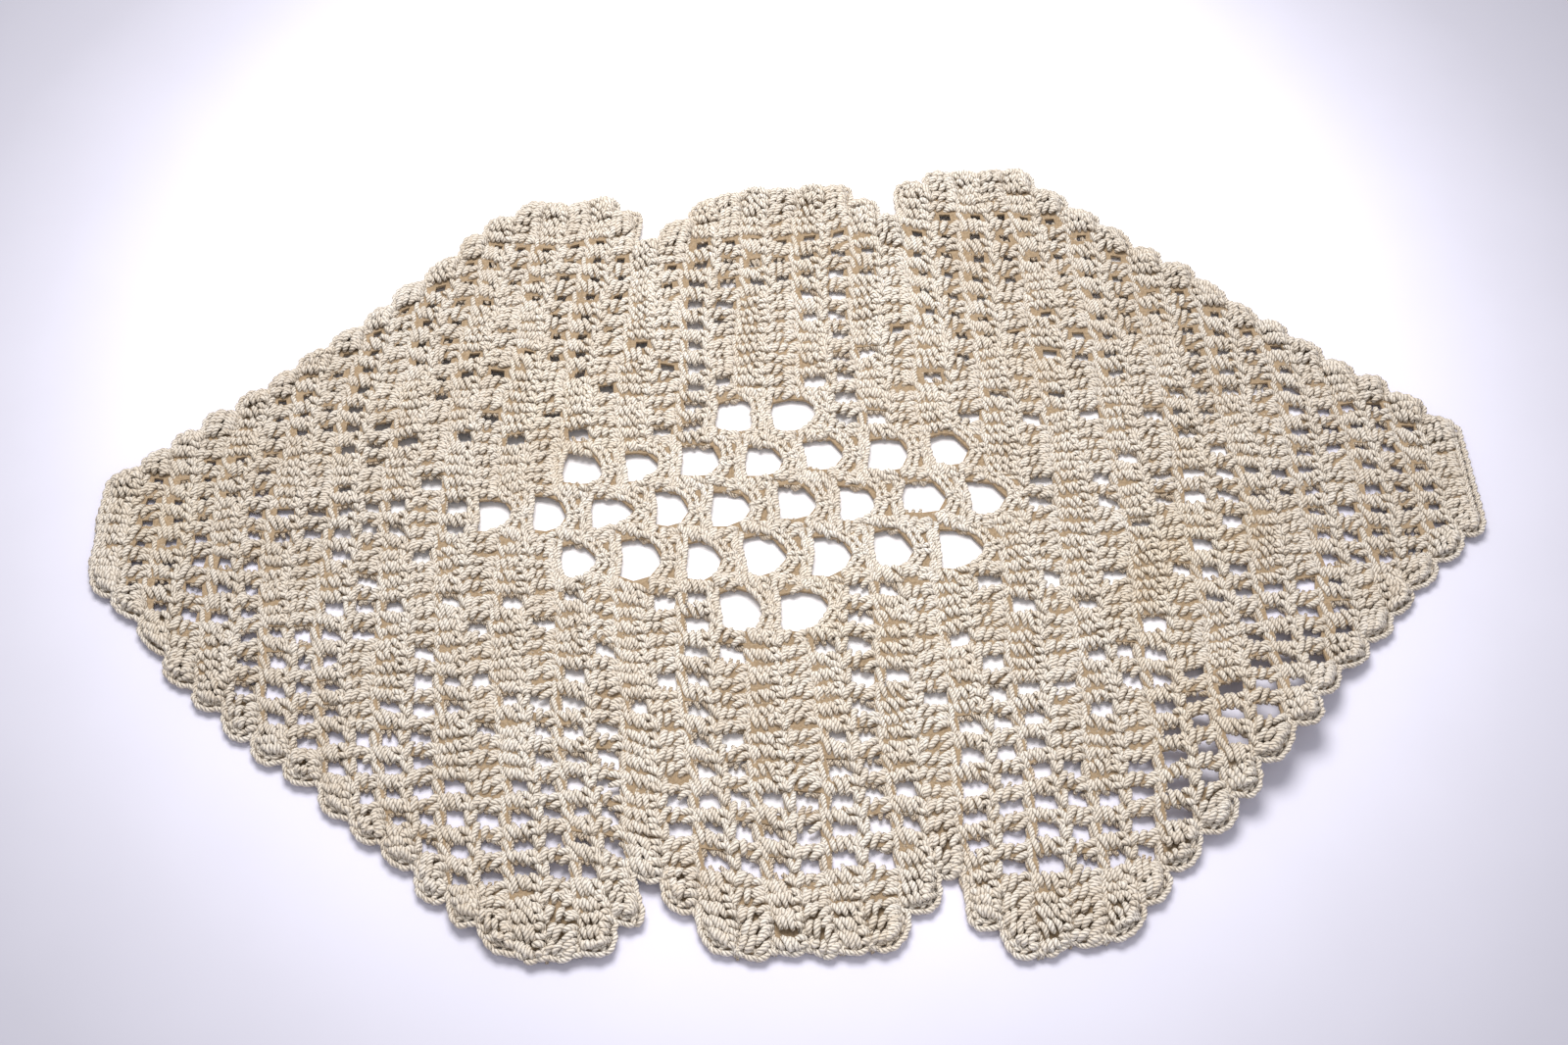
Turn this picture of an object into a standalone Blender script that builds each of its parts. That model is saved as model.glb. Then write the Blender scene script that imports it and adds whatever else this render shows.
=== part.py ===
"""A crochet lace table doily, lying flat, 380 mm long and 268 mm wide.

It is one piece of cotton, worked in rows that run across it from the left end to the right end. The chart
counts rows from 0 at the left end to ROWS at the right end, and meshes from the long middle line, above and
below alike. The solid is a closed sheet with the scalloped outline and the big holes of the lacet net. The
small square meshes are left closed.
"""
import math

import bpy
import bmesh

# Chart, in rows and meshes.
ROWS = 46
MIDDLE_ROW = ROWS / 2

# Lengths, in metres.
ROW_LENGTH = 0.00768
ROW_SWELL = 0.00125
THICKNESS = 0.0030
CREASE_DEPTH = 0.0005
BOW_REACH = 0.122
BOW_MIDDLE = 0.045

# Where the rows are longest, in rows from the left end, and how far that reaches.
SWELL_ROW = 28.0
SWELL_SPREAD = 12.0

# How the laid rows bow towards BOW_MIDDLE at their ends, and how far they lean.
BOW = 0.075
LEAN = 0.02

# Widths of one mesh, in millimetres, above and below the middle line. The cloth is pulled in at its ends.
# row, mesh_above, mesh_below
MESH_WIDTHS = (
    (0, 6.6, 6.7),
    (4, 6.85, 8.5),
    (8, 7.25, 8.4),
    (12, 7.7, 8.35),
    (15, 7.55, 8.35),
    (17, 7.65, 8.4),
    (19, 7.95, 8.9),
    (23, 8.2, 9.1),
    (27, 8.4, 9.0),
    (31, 7.9, 8.6),
    (37, 7.75, 8.4),
    (42, 7.4, 7.7),
    (46, 6.9, 7.0),
)

# Edge scallops, as shares of a mesh.
SCALLOP_POINTS = 4
SCALLOP_CORNER = 0.14
SCALLOP_CREST = 0.16

# The left half of the outline, from its end to the middle. The right half is its mirror image.
# first_row, last_row, half_width_in_meshes, meshes_added_a_row
OUTLINE = (
    (0, 12, 3, 1),
    (13, 16, 16, 0),
    (17, 17, 15, 0),
    (18, 18, 13, 0),
    (19, 19, 14, 0),
    (20, 22, 15, 0),
)

# The bands of big holes. Each hole stands in a block two rows long and two meshes wide.
# first_row, last_row, lowest_mesh, share_of_full_size
NET = (
    (13, 13, -1, 0.8),
    (15, 27, -1, 1.0),
    (29, 29, -1, 0.85),
    (16, 28, 1, 1.0),
    (16, 28, -3, 1.0),
    (21, 23, 3, 1.05),
    (21, 23, -5, 1.05),
)

# One big hole: flat against the bar at its left and drawn to a point where the two arms meet.
# The first two columns are the point of the block that the hole's corner faces, from the block's left middle.
# block_along, block_across, hole_along, hole_across
HOLE = (
    (0, -1, 0.20, -0.58),
    (1, -1, 0.62, -0.66),
    (2, -1, 1.05, -0.50),
    (2, 0, 1.36, -0.04),
    (2, 1, 1.00, 0.50),
    (1, 1, 0.62, 0.66),
    (0, 1, 0.22, 0.60),
    (0, 0, 0.14, 0.0),
)
HOLE_MIDDLE = (0.30, 0.0)

# Places where the cloth stands clear of the table, in metres from its middle.
# x, y, reach_along, reach_across, height, turn_in_degrees
RISES = (
    (0.118, -0.078, 0.030, 0.020, 0.0085, 48.0),
    (-0.075, 0.062, 0.070, 0.042, 0.0030, 40.0),
    (0.070, 0.118, 0.030, 0.022, 0.0030, -20.0),
    (-0.060, -0.112, 0.036, 0.020, 0.0022, 10.0),
)
FLAT_BELOW = 0.0006

COTTON = (0.80, 0.73, 0.60, 1.0)


def half_width(row):
    """Meshes from the middle line to the edge in one row."""
    if row < 0 or row >= ROWS:
        return 0
    near_row = min(row, ROWS - 1 - row)
    for first_row, last_row, width, added in OUTLINE:
        if first_row <= near_row <= last_row:
            return width + added * (near_row - first_row)
    return 0


def along(row):
    """Distance of a row's start along the middle line."""
    swell = ROW_SWELL * SWELL_SPREAD * math.sqrt(math.pi) / 2
    spread = math.erf((row - SWELL_ROW) / SWELL_SPREAD) - math.erf((MIDDLE_ROW - SWELL_ROW) / SWELL_SPREAD)
    return ROW_LENGTH * (row - MIDDLE_ROW) + swell * spread


def mesh_width(row, above):
    """Width of one mesh at a place along the doily, above or below the middle line."""
    column = 1 if above else 2
    for low, high in zip(MESH_WIDTHS, MESH_WIDTHS[1:]):
        if row <= high[0]:
            share = (row - low[0]) / (high[0] - low[0])
            eased = share * share * (3 - 2 * share)
            return 0.001 * (low[column] + eased * (high[column] - low[column]))
    return 0.001 * MESH_WIDTHS[-1][column]


def lay(row, mesh):
    """Place of a point of the chart on the table."""
    y = mesh * mesh_width(row, mesh > 0)
    bow = 1 - BOW * (y / BOW_REACH) ** 2
    x = BOW_MIDDLE + (along(row) - BOW_MIDDLE) * bow + LEAN * y
    return x, y


def lift(x, y):
    """Height of the underside over the table."""
    height = 0.0
    for rise_x, rise_y, reach_along, reach_across, rise, turn in RISES:
        angle = math.radians(turn)
        u = (x - rise_x) * math.cos(angle) + (y - rise_y) * math.sin(angle)
        v = (y - rise_y) * math.cos(angle) - (x - rise_x) * math.sin(angle)
        height += rise * math.exp(-(u / reach_along) ** 2 - (v / reach_across) ** 2)
    return max(0.0, height - FLAT_BELOW)


def thickness(row):
    """Full between the creases and thinner at the crease between each pair of rows."""
    from_crease = abs(row / 2 - round(row / 2)) * 2
    return THICKNESS - CREASE_DEPTH * (1 - from_crease)


def net_blocks():
    """Left row, lowest mesh and size of every block of the net."""
    blocks = []
    for first_row, last_row, low_mesh, share in NET:
        for row in range(first_row, last_row + 1, 2):
            blocks.append((row, low_mesh, share))
    return blocks


def edge_curve(row, side):
    """Outer edge of a row's last mesh, from its right end to its left end, as chart points."""
    width = half_width(row)
    right_is_high = half_width(row + 1) >= width
    left_is_high = half_width(row - 1) >= width
    points = []
    if right_is_high:
        points.append((row + 1, side * width))
    steps = SCALLOP_POINTS + 1
    for step in range(1, steps):
        share = step / steps
        if right_is_high and left_is_high:
            crest = SCALLOP_CREST * math.sin(math.pi * share)
            points.append((row + 1 - share, side * (width + crest)))
            continue
        angle = share * math.pi / 2
        if left_is_high:
            angle = (1 - share) * math.pi / 2
        radius = 1 + SCALLOP_CORNER * math.sin(2 * angle)
        if not left_is_high and not right_is_high:
            angle = share * math.pi
            points.append((row + 0.5 + 0.5 * math.cos(angle), side * (width - 1 + math.sin(angle))))
        elif right_is_high:
            points.append((row + 1 - radius * math.sin(angle), side * (width - 1 + radius * math.cos(angle))))
        else:
            points.append((row + radius * math.sin(angle), side * (width - 1 + radius * math.cos(angle))))
    if left_is_high:
        points.append((row, side * width))
    return points


def sheet_faces():
    """Every face of the sheet seen from above, as chart points in counter-clockwise order."""
    blocks = net_blocks()
    in_net = set()
    for row, low_mesh, share in blocks:
        for mesh in (low_mesh, low_mesh + 1):
            in_net.add((row, mesh))
            in_net.add((row + 1, mesh))
    faces = []
    for row in range(ROWS):
        width = half_width(row)
        for mesh in range(1 - width, width - 1):
            if (row, mesh) not in in_net:
                faces.append([(row, mesh), (row + 1, mesh), (row + 1, mesh + 1), (row, mesh + 1)])
        top = [(row, width - 1), (row + 1, width - 1)] + edge_curve(row, 1)
        bottom = [(row, 1 - width), (row + 1, 1 - width)] + edge_curve(row, -1)
        faces.append(top)
        faces.append(bottom[::-1])
    for row, low_mesh, share in blocks:
        faces.extend(hole_faces(row, low_mesh, share))
    return faces


def hole_faces(row, low_mesh, share):
    """The ring of faces between a block's outline and its hole."""
    outer = []
    inner = []
    for block_along, block_across, hole_along, hole_across in HOLE:
        outer.append((row + block_along, low_mesh + 1 + block_across))
        inner_along = HOLE_MIDDLE[0] + share * (hole_along - HOLE_MIDDLE[0])
        inner_across = HOLE_MIDDLE[1] + share * (hole_across - HOLE_MIDDLE[1])
        inner.append((row + inner_along, low_mesh + 1 + inner_across))
    faces = []
    count = len(HOLE)
    for index in range(count):
        after = (index + 1) % count
        faces.append([outer[index], outer[after], inner[after], inner[index]])
    return faces


def key_of(point):
    """Chart points that meet share one corner."""
    return round(point[0], 5), round(point[1], 5)


def build_mesh():
    """The closed solid: the sheet's top, its underside and the walls round its edge and its holes."""
    places = {}
    faces = []
    for face in sheet_faces():
        keys = []
        for point in face:
            key = key_of(point)
            if key not in places:
                places[key] = lay(point[0], point[1])
            keys.append(key)
        faces.append(keys)
    xs = [place[0] for place in places.values()]
    ys = [place[1] for place in places.values()]
    middle_x = (min(xs) + max(xs)) / 2
    middle_y = (min(ys) + max(ys)) / 2

    solid = bmesh.new()
    tops = {}
    bottoms = {}
    for key, place in places.items():
        x = place[0] - middle_x
        y = place[1] - middle_y
        low = lift(x, y)
        tops[key] = solid.verts.new((x, y, low + thickness(key[0])))
        bottoms[key] = solid.verts.new((x, y, low))
    edges = set()
    for keys in faces:
        solid.faces.new([tops[key] for key in keys])
        solid.faces.new([bottoms[key] for key in reversed(keys)])
        for index, key in enumerate(keys):
            edges.add((key, keys[(index + 1) % len(keys)]))
    for start, end in sorted(edges):
        if (end, start) not in edges:
            solid.faces.new([tops[start], bottoms[start], bottoms[end], tops[end]])
    bmesh.ops.triangulate(solid, faces=solid.faces[:])
    mesh = bpy.data.meshes.new("doily")
    solid.to_mesh(mesh)
    solid.free()
    return mesh


def cotton_material():
    """Unbleached cotton yarn."""
    material = bpy.data.materials.new("cotton")
    material.use_nodes = True
    shader = material.node_tree.nodes["Principled BSDF"]
    shader.inputs["Base Color"].default_value = COTTON
    shader.inputs["Roughness"].default_value = 0.85
    shader.inputs["Metallic"].default_value = 0.0
    return material


for thing in list(bpy.data.objects):
    bpy.data.objects.remove(thing, do_unlink=True)

doily_mesh = build_mesh()
doily_mesh.materials.append(cotton_material())
doily = bpy.data.objects.new("doily", doily_mesh)
bpy.context.scene.collection.objects.link(doily)
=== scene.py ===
"""A crochet lace table doily, made stitch by stitch from cotton yarn on its own chart.

Rows run across the doily and are counted from its left end. Meshes are counted from its long middle line, above
and below. Every row is worked from right to left, so a stitch has its foot at the right and its head at the left.
"""
import math

import bpy
import numpy as np
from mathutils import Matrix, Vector


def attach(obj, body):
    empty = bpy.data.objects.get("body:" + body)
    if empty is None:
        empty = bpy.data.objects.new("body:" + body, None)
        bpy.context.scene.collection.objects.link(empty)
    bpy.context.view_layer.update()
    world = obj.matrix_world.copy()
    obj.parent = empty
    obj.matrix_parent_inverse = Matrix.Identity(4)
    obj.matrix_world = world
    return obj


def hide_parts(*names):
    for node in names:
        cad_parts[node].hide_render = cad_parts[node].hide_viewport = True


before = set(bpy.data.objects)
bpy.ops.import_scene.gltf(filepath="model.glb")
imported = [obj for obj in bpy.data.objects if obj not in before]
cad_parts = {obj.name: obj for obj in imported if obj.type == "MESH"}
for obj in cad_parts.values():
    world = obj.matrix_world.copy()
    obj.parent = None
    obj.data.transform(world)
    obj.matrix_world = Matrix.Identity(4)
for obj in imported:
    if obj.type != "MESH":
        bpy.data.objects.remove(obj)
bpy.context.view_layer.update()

RANDOM = np.random.default_rng(46)

# Chart, in rows and meshes, and the lengths it is laid out with, in metres.
ROWS = 46
MIDDLE_ROW = ROWS / 2
ROW_LENGTH = 0.00768
ROW_SWELL = 0.00125
SWELL_ROW = 28.0
SWELL_SPREAD = 12.0
BOW = 0.075
BOW_REACH = 0.122
BOW_MIDDLE = 0.045
LEAN = 0.02

# The scalloped edge: how far its corners and crests stand out, the steps of its curve, how far out the strands of
# the last mesh reach and how round they lie.
SCALLOP_CORNER = 0.32
SCALLOP_CREST = 0.24
EDGE_STEPS = 5
LAST_STITCH = 0.92
CORNER_ROUND = 2.2

# Widths of one mesh, in millimetres, above and below the middle line.
# row, mesh_above, mesh_below
MESH_WIDTHS = (
    (0, 6.6, 6.7),
    (4, 6.85, 8.5),
    (8, 7.25, 8.4),
    (12, 7.7, 8.35),
    (15, 7.55, 8.35),
    (17, 7.65, 8.4),
    (19, 7.95, 8.9),
    (23, 8.2, 9.1),
    (27, 8.4, 9.0),
    (31, 7.9, 8.6),
    (37, 7.75, 8.4),
    (42, 7.4, 7.7),
    (46, 6.9, 7.0),
)

# The left half of the outline.
# first_row, last_row, half_width_in_meshes, meshes_added_a_row
OUTLINE = (
    (0, 12, 3, 1),
    (13, 16, 16, 0),
    (17, 17, 15, 0),
    (18, 18, 13, 0),
    (19, 19, 14, 0),
    (20, 22, 15, 0),
)

# The bands of big holes. Each hole stands in a block two rows long and two meshes wide.
# first_row, last_row, lowest_mesh
NET = (
    (13, 13, -1),
    (15, 29, -1),
    (16, 28, 1),
    (16, 28, -3),
    (21, 23, 3),
    (21, 23, -5),
)

# A big hole: eight places round its block and the places of its rim that belong to them, in rows and meshes
# from the left end of the block's middle line.
# block_along, block_across, hole_along, hole_across
HOLE_RING = (
    (0, -1, 0.18, -0.64),
    (1, -1, 0.64, -0.74),
    (2, -1, 1.12, -0.60),
    (2, 0, 1.44, -0.04),
    (2, 1, 1.08, 0.60),
    (1, 1, 0.64, 0.74),
    (0, 1, 0.20, 0.66),
    (0, 0, 0.12, 0.0),
)

# Lowest meshes of the pairs of wider holes above and below the bands.
WIDE_BLOCKS = (3, -5)

# Places where the cloth stands clear of the table, in metres from its middle.
# x, y, reach_along, reach_across, height, turn_in_degrees
RISES = (
    (0.118, -0.078, 0.030, 0.020, 0.0085, 48.0),
    (-0.075, 0.062, 0.070, 0.042, 0.0030, 40.0),
    (0.070, 0.118, 0.030, 0.022, 0.0030, -20.0),
    (-0.060, -0.112, 0.036, 0.020, 0.0022, 10.0),
)
FLAT_BELOW = 0.0006

# Wander of the rows and meshes, in metres, the broad one along and across.
BROAD_WANDER = (0.00075, 0.00080)
FINE_WANDER = 0.00045
RIPPLE = 0.00030

# Solid meshes. The rest are open, but for the border. The chart is the same each way from its middle.
# rows_from_middle, first_mesh, last_mesh
SOLID = (
    (0, 5, 9),
    (1, 6, 7),
    (3, 4, 5),
    (3, 7, 9),
    (4, 3, 6),
    (4, 8, 11),
    (5, 3, 4),
    (5, 6, 7),
    (6, 4, 5),
    (7, 0, 3),
    (7, 5, 6),
    (8, 1, 2),
    (8, 4, 6),
    (8, 8, 9),
    (9, 0, 3),
    (9, 5, 5),
    (9, 7, 7),
    (9, 9, 10),
    (10, 1, 2),
    (10, 4, 5),
    (10, 8, 9),
    (11, 0, 0),
    (11, 2, 4),
    (12, 1, 2),
    (12, 4, 6),
    (13, 1, 1),
    (13, 5, 7),
    (14, 2, 2),
    (15, 1, 3),
    (16, 1, 3),
    (18, 0, 0),
    (18, 4, 5),
    (19, 4, 4),
    (22, 0, 3),
)
LOBE_ROWS = 10
LOBE_BORDER = 2
SLOPE_BORDER = 1

# Where the stitches begin to draw together, and over how many rows or meshes they become tightest.
# start, reach
LEFT_TIGHT_ROWS = (9.0, -8.0)
LEFT_TIGHT_MESHES = (-1.0, 12.0)
TOP_TIGHT_MESHES = (1.5, 6.0)
MIDDLE_TIGHT_MESHES = (6.0, 7.0)
RIGHT_TIGHT_ROWS = (33.0, 16.0)
MIDDLE_LOBE = (19, 27)

# Heights and thicknesses, in metres.
YARN = 0.00158
MID_HEIGHT = 0.00152
WEB_THICKNESS = 0.0008
TABLE_CLEARANCE = 0.00002

# The yarn's plies and the length of their turn, in yarn widths, and how full it lies in the stitches and the net.
PLIES = 3.0
PLY_SPACING = 0.64
STITCH_FULLNESS = 1.16
NET_FULLNESS = 1.06

# Width of a tall stitch in meshes, and where the last two of a row stand from its end.
STITCH_SHARE = 0.5
EDGE_STITCHES = (0.56, 0.16)

# The knob at the end of a row: its height in metres, and its place from the end and its reach in meshes.
KNOB_HEIGHT = 0.0018
KNOB_PLACE = 0.55
KNOB_REACH = 0.62

# Strands of one tall stitch. along runs from its foot (0) to its head (1), across in stitches, height in
# millimetres from the middle of the cloth. Four places for each strand.
# along, across, height
FRONT_STRANDS = (
    ((0.97, 0.34, -0.70), (0.92, 0.20, 0.70), (0.84, -0.06, 1.02), (0.77, -0.34, 0.05)),
    ((0.76, 0.40, -0.05), (0.70, 0.20, 1.00), (0.62, -0.10, 1.05), (0.56, -0.38, 0.00)),
    ((0.55, 0.42, -0.05), (0.49, 0.20, 0.98), (0.41, -0.10, 1.00), (0.35, -0.38, 0.00)),
    ((0.36, 0.36, 0.10), (0.28, 0.32, 0.92), (0.16, 0.24, 0.88), (0.01, 0.14, -0.20)),
    ((0.30, -0.12, 0.20), (0.23, -0.18, 0.92), (0.12, -0.22, 0.84), (-0.02, -0.18, -0.20)),
)
BACK_STRANDS = (
    ((0.03, 0.40, -0.70), (0.12, 0.36, 0.72), (0.30, 0.24, 1.04), (0.46, 0.04, 0.05)),
    ((0.03, 0.02, -0.70), (0.12, -0.04, 0.72), (0.30, -0.20, 1.04), (0.46, -0.40, 0.05)),
    ((0.48, 0.42, -0.05), (0.55, 0.22, 0.95), (0.63, -0.06, 1.02), (0.70, -0.34, 0.00)),
    ((0.72, 0.42, -0.05), (0.79, 0.22, 0.95), (0.86, -0.06, 0.95), (0.93, -0.32, 0.00)),
)
# The strands of the underside, as shares of the upper ones' height and tone, the smaller tone being painted shade,
# and how far the ridges between rows rise, in metres.
UNDER_HEIGHT = -0.72
UNDER_SHADE = 0.42
RIDGE_HEIGHT = 0.0005

# How far strands, stitches and chain links stray: along, across and in height, in the units of their tables.
STRAND_WANDER = (0.020, 0.055, 0.09)
STITCH_WANDER = (0.022, 0.10, 0.10)
LINK_WANDER = (0.03, 0.05, 0.05)

# How much wider a stitch is beside an open mesh, how much wider still where the work is tight, and its slant.
OPEN_SPREAD = 0.24
TIGHT_SPREAD = 0.38
OPEN_SLANT = 0.42

# Shape of one strand: its width at the ends and what its middle adds, in yarn widths, how much strands differ in
# width, and the darkest of their tones.
STRAND_END = 0.66
STRAND_SWELL = 0.36
STRAND_FULLNESS = 0.7
STRAND_DIFFERENCE = 0.045
DARKEST_STRAND = 0.55

# Strands of one chain link: distance along in links, to the side in millimetres, height in millimetres.
# along, aside, height
CHAIN_ARMS = (
    ((-0.52, -0.20, -0.35), (-0.12, -0.92, 0.22), (0.38, -1.10, 0.22), (0.84, -0.42, -0.30)),
    ((-0.52, 0.20, -0.35), (-0.12, 0.92, 0.22), (0.38, 1.10, 0.22), (0.84, 0.42, -0.30)),
)
HEAD_ARMS = (
    ((-0.46, -0.05, -0.50), (-0.16, -0.34, 0.12), (0.22, -0.98, 0.14), (0.48, -1.42, -0.60)),
    ((-0.46, 0.05, -0.50), (-0.16, 0.34, 0.12), (0.22, 0.98, 0.14), (0.48, 1.42, -0.60)),
)
CHAIN_BACK = (((-0.35, 0.00, -0.45), (0.05, 0.02, -0.85), (0.55, -0.02, -0.85), (0.95, 0.00, -0.45)),)
CREASE_RIB = (((-0.60, 0.35, -0.50), (-0.22, 0.05, 0.15), (0.26, -0.55, 0.15), (0.64, -0.95, -0.50)),)

# Lengths of the links of chains, arms and knots, and how far in from the outline the edge chain runs, in metres.
CHAIN_LINK = 0.0031
ARM_LINK = 0.0026
KNOT_LINK = 0.0022
EDGE_INSET = 0.0008


def half_width(row):
    """Meshes from the middle line to the edge in one row."""
    if row < 0 or row >= ROWS:
        return 0
    near_row = min(row, ROWS - 1 - row)
    for first_row, last_row, width, added in OUTLINE:
        if first_row <= near_row <= last_row:
            return width + added * (near_row - first_row)
    return 0


HALF_WIDTHS = np.array([half_width(row) for row in range(ROWS)])


def along(row):
    """Distance of a row's start along the middle line."""
    swell = ROW_SWELL * SWELL_SPREAD * math.sqrt(math.pi) / 2
    middle = math.erf((MIDDLE_ROW - SWELL_ROW) / SWELL_SPREAD)
    places = np.linspace(-2, ROWS + 2, 401)
    lengths = [
        ROW_LENGTH * (place - MIDDLE_ROW) + swell * (math.erf((place - SWELL_ROW) / SWELL_SPREAD) - middle)
        for place in places
    ]
    return np.interp(row, places, lengths)


def mesh_width(row, above):
    """Width of one mesh at a place along the doily, above or below the middle line."""
    table = np.array(MESH_WIDTHS)
    row = np.clip(row, 0, ROWS)
    index = np.clip(np.searchsorted(table[:, 0], row, side="right") - 1, 0, len(table) - 2)
    share = (row - table[index, 0]) / (table[index + 1, 0] - table[index, 0])
    eased = share * share * (3 - 2 * share)
    column = np.where(above, 1, 2)
    low = table[index, column]
    high = table[index + 1, column]
    return 0.001 * (low + eased * (high - low))


def lay_flat(row, mesh):
    """Place on the table of points of the chart, before the outline is centred."""
    y = mesh * mesh_width(row, mesh > 0)
    bow = 1 - BOW * (y / BOW_REACH) ** 2
    x = BOW_MIDDLE + (along(row) - BOW_MIDDLE) * bow + LEAN * y
    return x, y


def edge_curve(row, side, reach=1.0):
    """Outer edge of a row's last mesh, from its right end to its left end, as chart points."""
    width = half_width(row)
    right_is_high = half_width(row + 1) >= width
    left_is_high = half_width(row - 1) >= width
    points = []
    if right_is_high:
        points.append((row + 1, side * (width - 1 + reach)))
    for step in range(1, EDGE_STEPS):
        share = step / EDGE_STEPS
        if right_is_high and left_is_high:
            crest = SCALLOP_CREST * math.sin(math.pi * share)
            points.append((row + 1 - share, side * (width - 1 + reach + crest)))
            continue
        angle = share * math.pi / 2
        if left_is_high:
            angle = (1 - share) * math.pi / 2
        radius = reach * (1 + SCALLOP_CORNER * math.sin(2 * angle))
        if right_is_high:
            points.append((row + 1 - radius * math.sin(angle), side * (width - 1 + radius * math.cos(angle))))
        else:
            points.append((row + radius * math.sin(angle), side * (width - 1 + radius * math.cos(angle))))
    if left_is_high:
        points.append((row, side * (width - 1 + reach)))
    return points


def outline_points():
    """The whole outline once round, as chart points: the upper edge, left end, lower edge and right end."""
    points = []
    for row in range(ROWS - 1, -1, -1):
        points.extend(edge_curve(row, 1))
    for row in range(ROWS):
        points.extend(edge_curve(row, -1)[::-1])
    return points


OUTLINE_POINTS = np.array(outline_points())
OUTLINE_X, OUTLINE_Y = lay_flat(OUTLINE_POINTS[:, 0], OUTLINE_POINTS[:, 1])
CENTRE_X = (OUTLINE_X.min() + OUTLINE_X.max()) / 2
CENTRE_Y = (OUTLINE_Y.min() + OUTLINE_Y.max()) / 2


def lift(x, y):
    """Height of the underside over the table."""
    height = np.zeros_like(x)
    for rise_x, rise_y, reach_along, reach_across, rise, turn in RISES:
        angle = math.radians(turn)
        u = (x - rise_x) * math.cos(angle) + (y - rise_y) * math.sin(angle)
        v = (y - rise_y) * math.cos(angle) - (x - rise_x) * math.sin(angle)
        height += rise * np.exp(-((u / reach_along) ** 2) - (v / reach_across) ** 2)
    return np.maximum(0.0, height - FLAT_BELOW)


def wave(x, y, across_x, across_y, start):
    """A slow wave over the table, from -1 to 1."""
    return np.sin(across_x * x + across_y * y + start)


def unevenness(x, y):
    """The small wander of hand-worked rows and meshes."""
    dx = BROAD_WANDER[0] * wave(x, y, 151, 86, 1.3) + FINE_WANDER * wave(x, y, -133, 420, 0.4)
    dy = BROAD_WANDER[1] * wave(x, y, 163, -98, 2.1) + FINE_WANDER * wave(x, y, 377, 260, 0.9)
    dz = RIPPLE * (1 + wave(x, y, 88, 141, 0.5)) * (1 + wave(x, y, 190, -75, 2.0)) / 2
    return dx, dy, dz


def lay(row, mesh, height):
    """Place in space of points of the chart, height in metres from the middle of the cloth."""
    x, y = lay_flat(row, mesh)
    x = x - CENTRE_X
    y = y - CENTRE_Y
    base = lift(x, y)
    dx, dy, dz = unevenness(x, y)
    return np.stack([x + dx, y + dy, base + dz + MID_HEIGHT + height], axis=-1)


def round_corners(row_cell, row, mesh):
    """Draws the last mesh of each row into the rounded scallop that the edge makes of it."""
    width = HALF_WIDTHS[row_cell]
    left_width = np.where(row_cell > 0, HALF_WIDTHS[np.maximum(row_cell - 1, 0)], 0)
    right_width = np.where(row_cell < ROWS - 1, HALF_WIDTHS[np.minimum(row_cell + 1, ROWS - 1)], 0)
    side = np.where(mesh >= 0, 1.0, -1.0)
    out = np.clip(np.abs(mesh) - (width - 1), 0.0, LAST_STITCH)
    is_last = np.abs(mesh) > width - 1
    left_is_low = left_width < width
    right_is_low = right_width < width
    from_right = np.clip(row_cell + 1 - row, 0.0, 1.1)
    from_left = np.clip(row - row_cell, 0.0, 1.1)
    near = np.where(left_is_low, from_right, from_left)
    new_near = near * np.sqrt(np.maximum(0.0, 1 - out**2 / CORNER_ROUND))
    new_out = out * np.sqrt(np.maximum(0.0, 1 - near**2 / CORNER_ROUND))
    corner = is_last & (left_is_low | right_is_low)
    corner_row = np.where(left_is_low, row_cell + 1 - new_near, row_cell + new_near)
    crest_out = out * (1 + SCALLOP_CREST * np.sin(np.pi * np.clip(from_left, 0, 1)))
    flat_edge = is_last & ~left_is_low & ~right_is_low
    inside_row = (row >= row_cell) & (row <= row_cell + 1)
    row_out = np.where(corner & inside_row, corner_row, row)
    mesh_out = np.where(corner, side * (width - 1 + new_out), mesh)
    mesh_out = np.where(flat_edge, side * (width - 1 + crest_out), mesh_out)
    return row_out, mesh_out


def edge_knob(row_cell, row, mesh, height):
    """Extra height where the end of a row stands up as a rounded knob."""
    from_knob = (np.abs(mesh) - (HALF_WIDTHS[row_cell] - KNOB_PLACE)) / KNOB_REACH
    across_row = (row - (row_cell + 0.5)) / KNOB_REACH
    return height * np.exp(-(from_knob**2)) * np.clip(1 - across_row**2, 0, 1)


def net_blocks():
    """Left row and lowest mesh of every block of the net."""
    return [
        (row, low_mesh) for first_row, last_row, low_mesh in NET for row in range(first_row, last_row + 1, 2)
    ]


BLOCKS = net_blocks()
IN_NET = {(row + step, mesh + rise) for row, mesh in BLOCKS for step in (0, 1) for rise in (0, 1)}


def is_solid(row, mesh):
    """Whether a mesh is filled with stitches."""
    from_middle = MIDDLE_ROW - 1 - row if row < MIDDLE_ROW else row - MIDDLE_ROW
    from_line = mesh if mesh >= 0 else -1 - mesh
    border = LOBE_BORDER if from_middle < LOBE_ROWS else SLOPE_BORDER
    if from_line >= half_width(row) - border:
        return True
    for rows_from_middle, first_mesh, last_mesh in SOLID:
        if rows_from_middle == from_middle and first_mesh <= from_line <= last_mesh:
            return True
    return False


def share_of(place, start, reach):
    """How far a place lies along a stretch, 0 at its start and 1 at its end."""
    return (place - start) / reach


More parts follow.
